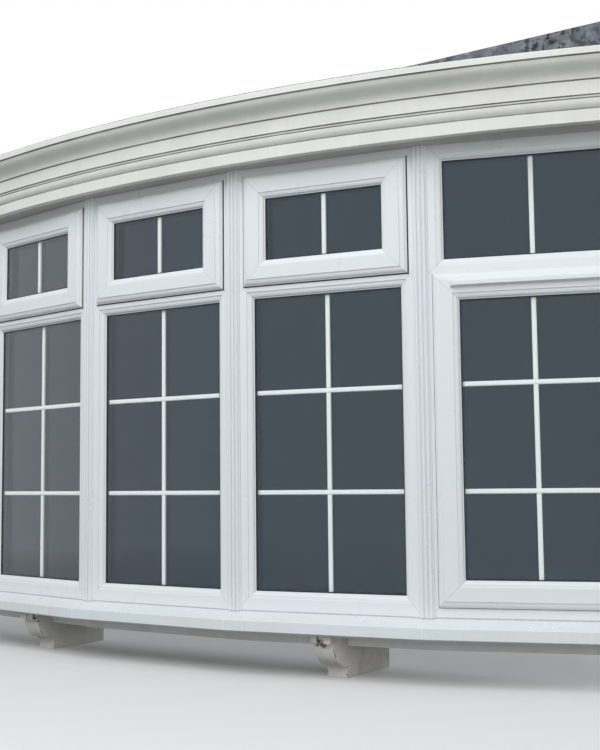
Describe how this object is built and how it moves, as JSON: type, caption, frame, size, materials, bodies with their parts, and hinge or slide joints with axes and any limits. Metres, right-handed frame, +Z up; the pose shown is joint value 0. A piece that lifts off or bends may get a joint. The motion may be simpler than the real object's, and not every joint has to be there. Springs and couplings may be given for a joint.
{
  "type": "bow window",
  "caption": "Shallow segmental bow window with fanlights over fixed lights, end casements, moulded curved cornice, sill and corbel brackets.",
  "frame": {"origin": "middle of the base board's back edge, on the wall plane", "axes": "+Y into the wall, so the bow stands out towards -Y; +X to the right seen from outside; +Z up"},
  "size_m": [3.3176, 0.5241, 1.9416],
  "materials": {
    "white_plastic": "smooth white window plastic, slightly weathered",
    "sill_plastic": "smooth white window plastic with dirt along its lower edge",
    "handle_coating": "white powder coating",
    "glass": "clear sealed double glazing",
    "cornice_paint": "old cream-white paint",
    "soffit_paint": "old cream-white paint",
    "bracket_paint": "chipped and dirty off-white paint",
    "skirt_paint": "grey-white paint, dirty",
    "inner_paint": "white satin paint",
    "plain_timber": "bare sawn board",
    "lead": "weathered lead sheet, mottled blue-grey"
  },
  "bodies": {
    "root": {"base_board": "skirt_paint", "bracket_left": "bracket_paint", "bracket_right": "bracket_paint", "casement_handles": "handle_coating", "casement_left_end": "white_plastic", "casement_right_end": "white_plastic", "cornice": "cornice_paint", "cornice_return_left": "cornice_paint", "cornice_return_right": "cornice_paint", "drip_bars": "white_plastic", "fanlight_handles": "handle_coating", "fanlight_left": "white_plastic", "fanlight_middle": "white_plastic", "fanlight_right": "white_plastic", "frame_left": "white_plastic", "frame_left_end": "white_plastic", "frame_middle": "white_plastic", "frame_right": "white_plastic", "frame_right_end": "white_plastic", "glass_left": "glass", "glass_left_end": "glass", "glass_middle": "glass", "glass_right": "glass", "glass_right_end": "glass", "head_board": "plain_timber", "jamb_post_left": "white_plastic", "jamb_post_right": "white_plastic", "lead_flashing": "lead", "lead_roof": "lead", "mullion_1": "white_plastic", "mullion_2": "white_plastic", "mullion_3": "white_plastic", "mullion_4": "white_plastic", "roof_deck": "plain_timber", "sill_left": "sill_plastic", "sill_left_end": "sill_plastic", "sill_middle": "sill_plastic", "sill_right": "sill_plastic", "sill_right_end": "sill_plastic", "skirt_boards": "skirt_paint", "soffit_board": "soffit_paint", "wall_plate": "plain_timber", "window_board": "inner_paint"}
  },
  "joints": []
}
